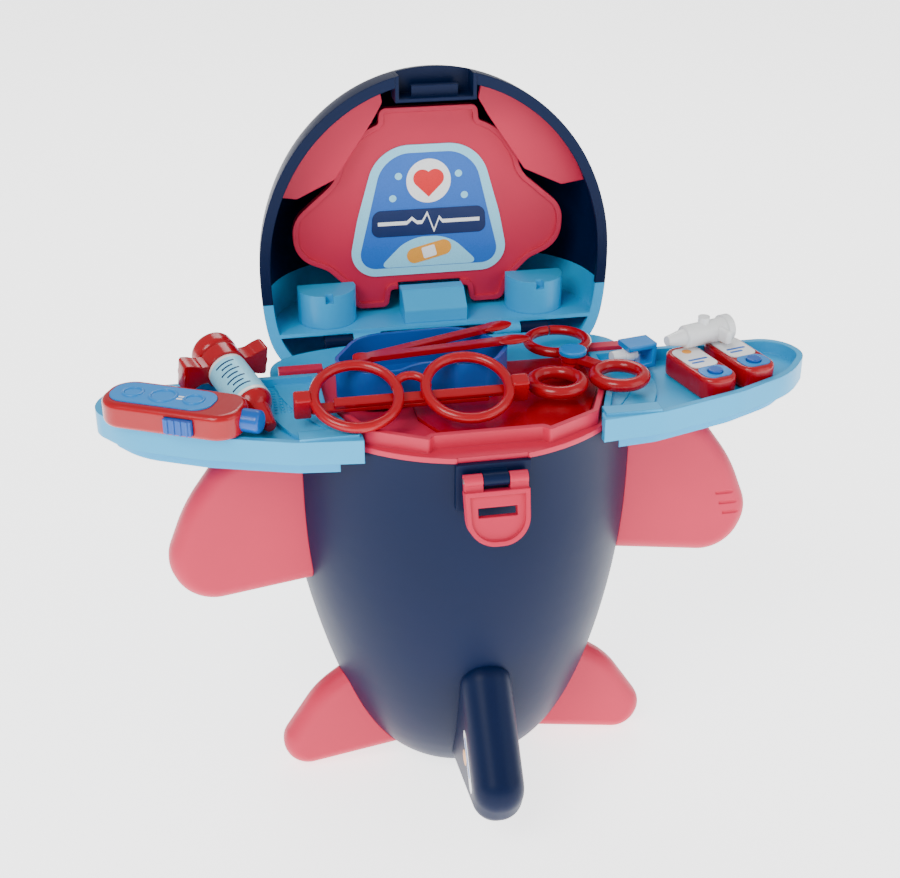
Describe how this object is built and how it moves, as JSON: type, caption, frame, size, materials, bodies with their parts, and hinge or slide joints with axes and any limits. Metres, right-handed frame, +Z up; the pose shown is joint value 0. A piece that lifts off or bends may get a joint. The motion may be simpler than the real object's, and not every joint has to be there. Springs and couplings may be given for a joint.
{
  "type": "toy doctor case",
  "caption": "Aircraft-shaped toy doctor case standing on its tail, with a hinged lid, pull-out side trays and toy instruments.",
  "frame": {"origin": "on the flat foot, below the body's middle line", "axes": "+Z up, the latch and tail fin face -Y, the lid opens towards +Y, the trays reach along X"},
  "size_m": [0.3886, 0.2722, 0.3871],
  "materials": {
    "navy_plastic": "satin",
    "pink_plastic": "satin",
    "pale_blue_plastic": "satin",
    "red_plastic": "gloss",
    "dish_blue_plastic": "gloss",
    "white_plastic": "gloss",
    "face_blue_plastic": "gloss",
    "printed_label": "satin",
    "steel": "satin"
  },
  "bodies": {
    "base": {"front_shell": "navy_plastic", "rear_shell": "navy_plastic", "shell_screws": "steel", "right_wing": "pink_plastic", "left_wing": "pink_plastic", "right_stabiliser": "pink_plastic", "left_stabiliser": "pink_plastic", "tail_fin": "navy_plastic", "latch_mount": "navy_plastic", "latch_pin": "steel", "deck_frame": "pink_plastic", "rear_cowl": "pale_blue_plastic", "deck_floor": "red_plastic", "hinge_pin": "steel", "glasses_frame": "red_plastic", "right_temple": "red_plastic", "left_temple": "red_plastic", "kidney_dish": "dish_blue_plastic", "tweezers": "red_plastic", "forceps_cap": "dish_blue_plastic"},
    "lid": {"lid_shell": "navy_plastic", "lid_chin": "pale_blue_plastic", "right_chin_drum": "pale_blue_plastic", "left_chin_drum": "pale_blue_plastic", "hinge_block": "pale_blue_plastic", "lid_panel": "pink_plastic", "lid_label": "printed_label", "right_lid_liner": "pink_plastic", "left_lid_liner": "pink_plastic", "lid_catch": "navy_plastic"},
    "latch": {"latch_lever": "pink_plastic"},
    "right_side_tray": {"right_tray": "pale_blue_plastic", "first_pager_case": "red_plastic", "first_pager_face": "white_plastic", "first_pager_pad": "dish_blue_plastic", "second_pager_case": "red_plastic", "second_pager_face": "white_plastic", "second_pager_pad": "dish_blue_plastic", "ear_scope_head": "face_blue_plastic", "ear_scope_nose": "white_plastic", "winged_injector": "white_plastic"},
    "left_side_tray": {"left_tray": "pale_blue_plastic", "syringe_nozzle": "red_plastic", "syringe_barrel": "white_plastic", "syringe_collar": "red_plastic", "scanner_case": "red_plastic", "scanner_face": "face_blue_plastic", "scanner_tip": "red_plastic"},
    "plunger": {"syringe_plunger": "red_plastic"},
    "scanner_key": {"scanner_button": "face_blue_plastic"},
    "first_pager_key": {"first_pager_button": "dish_blue_plastic"},
    "second_pager_key": {"second_pager_button": "dish_blue_plastic"},
    "forceps_lower": {"forceps_lower_half": "red_plastic"},
    "forceps_upper": {"forceps_upper_half": "red_plastic"}
  },
  "joints": [
    {"name": "lid_hinge", "type": "hinge", "parent": "base", "child": "lid", "pos_m": [0, 0.083, 0.234], "axis": [1, 0, 0], "range_deg": [0, 74]},
    {"name": "latch_pivot", "type": "hinge", "parent": "base", "child": "latch", "pos_m": [0, -0.0774, 0.223], "axis": [-1, 0, 0], "range_deg": [-12, 150]},
    {"name": "right_tray_slide", "type": "slide", "parent": "base", "child": "right_side_tray", "axis": [1, 0, 0], "range_m": [0, 0.06]},
    {"name": "left_tray_slide", "type": "slide", "parent": "base", "child": "left_side_tray", "axis": [-1, 0, 0], "range_m": [0, 0.06]},
    {"name": "plunger_slide", "type": "slide", "parent": "left_side_tray", "child": "plunger", "axis": [-0.3635, 0.8996, 0.2419], "range_m": [0, 0.02]},
    {"name": "scanner_press", "type": "slide", "parent": "left_side_tray", "child": "scanner_key", "axis": [0.454, 0.891, 0], "range_m": [0, 0.0018], "stiffness_N_per_m": 200},
    {"name": "first_pager_press", "type": "slide", "parent": "right_side_tray", "child": "first_pager_key", "axis": [0, 0, -1], "range_m": [0, 0.001], "stiffness_N_per_m": 200},
    {"name": "second_pager_press", "type": "slide", "parent": "right_side_tray", "child": "second_pager_key", "axis": [0, 0, -1], "range_m": [0, 0.001], "stiffness_N_per_m": 200},
    {"name": "forceps_lower_turn", "type": "hinge", "parent": "base", "child": "forceps_lower", "pos_m": [0.0615, 0.009, 0.245], "axis": [0, 0, -1], "range_deg": [0, 9.5]},
    {"name": "forceps_upper_turn", "type": "hinge", "parent": "base", "child": "forceps_upper", "pos_m": [0.0615, 0.009, 0.245], "axis": [0, 0, 1], "range_deg": [0, 9.5]}
  ],
  "couplings": [
    {"joint": "forceps_upper_turn", "follows": "forceps_lower_turn", "ratio": 1}
  ]
}
